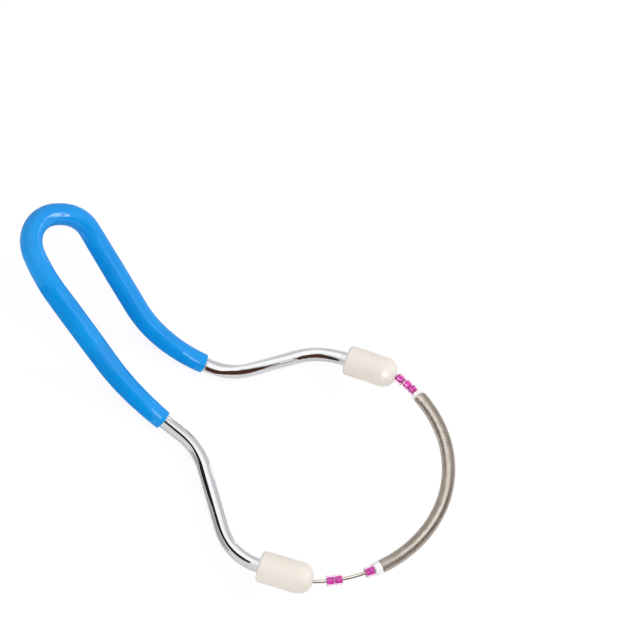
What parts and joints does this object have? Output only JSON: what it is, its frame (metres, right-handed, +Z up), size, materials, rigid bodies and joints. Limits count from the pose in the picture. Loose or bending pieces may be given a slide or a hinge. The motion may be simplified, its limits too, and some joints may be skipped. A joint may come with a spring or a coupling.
{
  "type": "facial hair removal spring",
  "caption": "Bent chrome wire frame with a soft looped handle and a bowed, beaded coil spring between its capped arms, rolled on the skin to pull out fine hair.",
  "frame": {"origin": "middle of the whole tool's footprint, on the table it rests on", "axes": "+X from the handle to the spring, +Y to the upper arm of the picture, +Z up"},
  "size_m": [0.1442, 0.0856, 0.0337],
  "materials": {
    "chrome_rod": "polished chrome plating on steel rod",
    "blue_vinyl": "glossy soft vinyl, shrunk on the rod",
    "ivory_plastic": "satin moulded plastic",
    "steel_wire": "plain drawn steel wire",
    "spring_steel": "close-wound stainless spring wire",
    "milky_plastic": "milky translucent nylon",
    "lined_glass": "clear glass over a magenta lining"
  },
  "bodies": {
    "frame": {"frame_rod": "chrome_rod", "handle_sleeve": "blue_vinyl", "upper_cap": "ivory_plastic", "lower_cap": "ivory_plastic", "inner_wire": "steel_wire"},
    "spring": {"coil_spring": "spring_steel", "upper_bush": "milky_plastic", "lower_bush": "milky_plastic"},
    "upper_cap_bead": {"upper_cap_bead": "lined_glass"},
    "upper_outer_bead": {"upper_outer_bead": "lined_glass"},
    "upper_inner_bead": {"upper_inner_bead": "lined_glass"},
    "lower_single_bead": {"lower_single_bead": "lined_glass"},
    "lower_inner_bead": {"lower_inner_bead": "lined_glass"},
    "lower_outer_bead": {"lower_outer_bead": "lined_glass"}
  },
  "joints": [
    {"name": "spring_travel", "type": "hinge", "parent": "frame", "child": "spring", "pos_m": [0.03373, 0, 0.00755], "axis": [0.4462, 0, -0.8949], "range_deg": [0, 13.81]},
    {"name": "upper_cap_bead_travel", "type": "hinge", "parent": "frame", "child": "upper_cap_bead", "pos_m": [0.03373, 0, 0.00755], "axis": [0.4462, 0, -0.8949], "range_deg": [0, 3.46]},
    {"name": "upper_outer_bead_travel", "type": "hinge", "parent": "frame", "child": "upper_outer_bead", "pos_m": [0.03373, 0, 0.00755], "axis": [0.4462, 0, -0.8949], "range_deg": [0, 6.92]},
    {"name": "upper_inner_bead_travel", "type": "hinge", "parent": "frame", "child": "upper_inner_bead", "pos_m": [0.03373, 0, 0.00755], "axis": [0.4462, 0, -0.8949], "range_deg": [0, 10.37]},
    {"name": "lower_single_bead_travel", "type": "hinge", "parent": "frame", "child": "lower_single_bead", "pos_m": [0.03373, 0, 0.00755], "axis": [0.4462, 0, -0.8949], "range_deg": [0, 13.82]},
    {"name": "lower_inner_bead_travel", "type": "hinge", "parent": "frame", "child": "lower_inner_bead", "pos_m": [0.03373, 0, 0.00755], "axis": [0.4462, 0, -0.8949], "range_deg": [0, 4.46]},
    {"name": "lower_outer_bead_travel", "type": "hinge", "parent": "frame", "child": "lower_outer_bead", "pos_m": [0.03373, 0, 0.00755], "axis": [0.4462, 0, -0.8949], "range_deg": [0, 4.46]}
  ],
  "couplings": [
    {"joint": "upper_cap_bead_travel", "follows": "spring_travel", "ratio": 0.25},
    {"joint": "upper_outer_bead_travel", "follows": "spring_travel", "ratio": 0.5},
    {"joint": "upper_inner_bead_travel", "follows": "spring_travel", "ratio": 0.75},
    {"joint": "lower_single_bead_travel", "follows": "spring_travel", "ratio": 1},
    {"joint": "lower_inner_bead_travel", "follows": "spring_travel", "ratio": 0.322},
    {"joint": "lower_outer_bead_travel", "follows": "spring_travel", "ratio": 0.322}
  ]
}
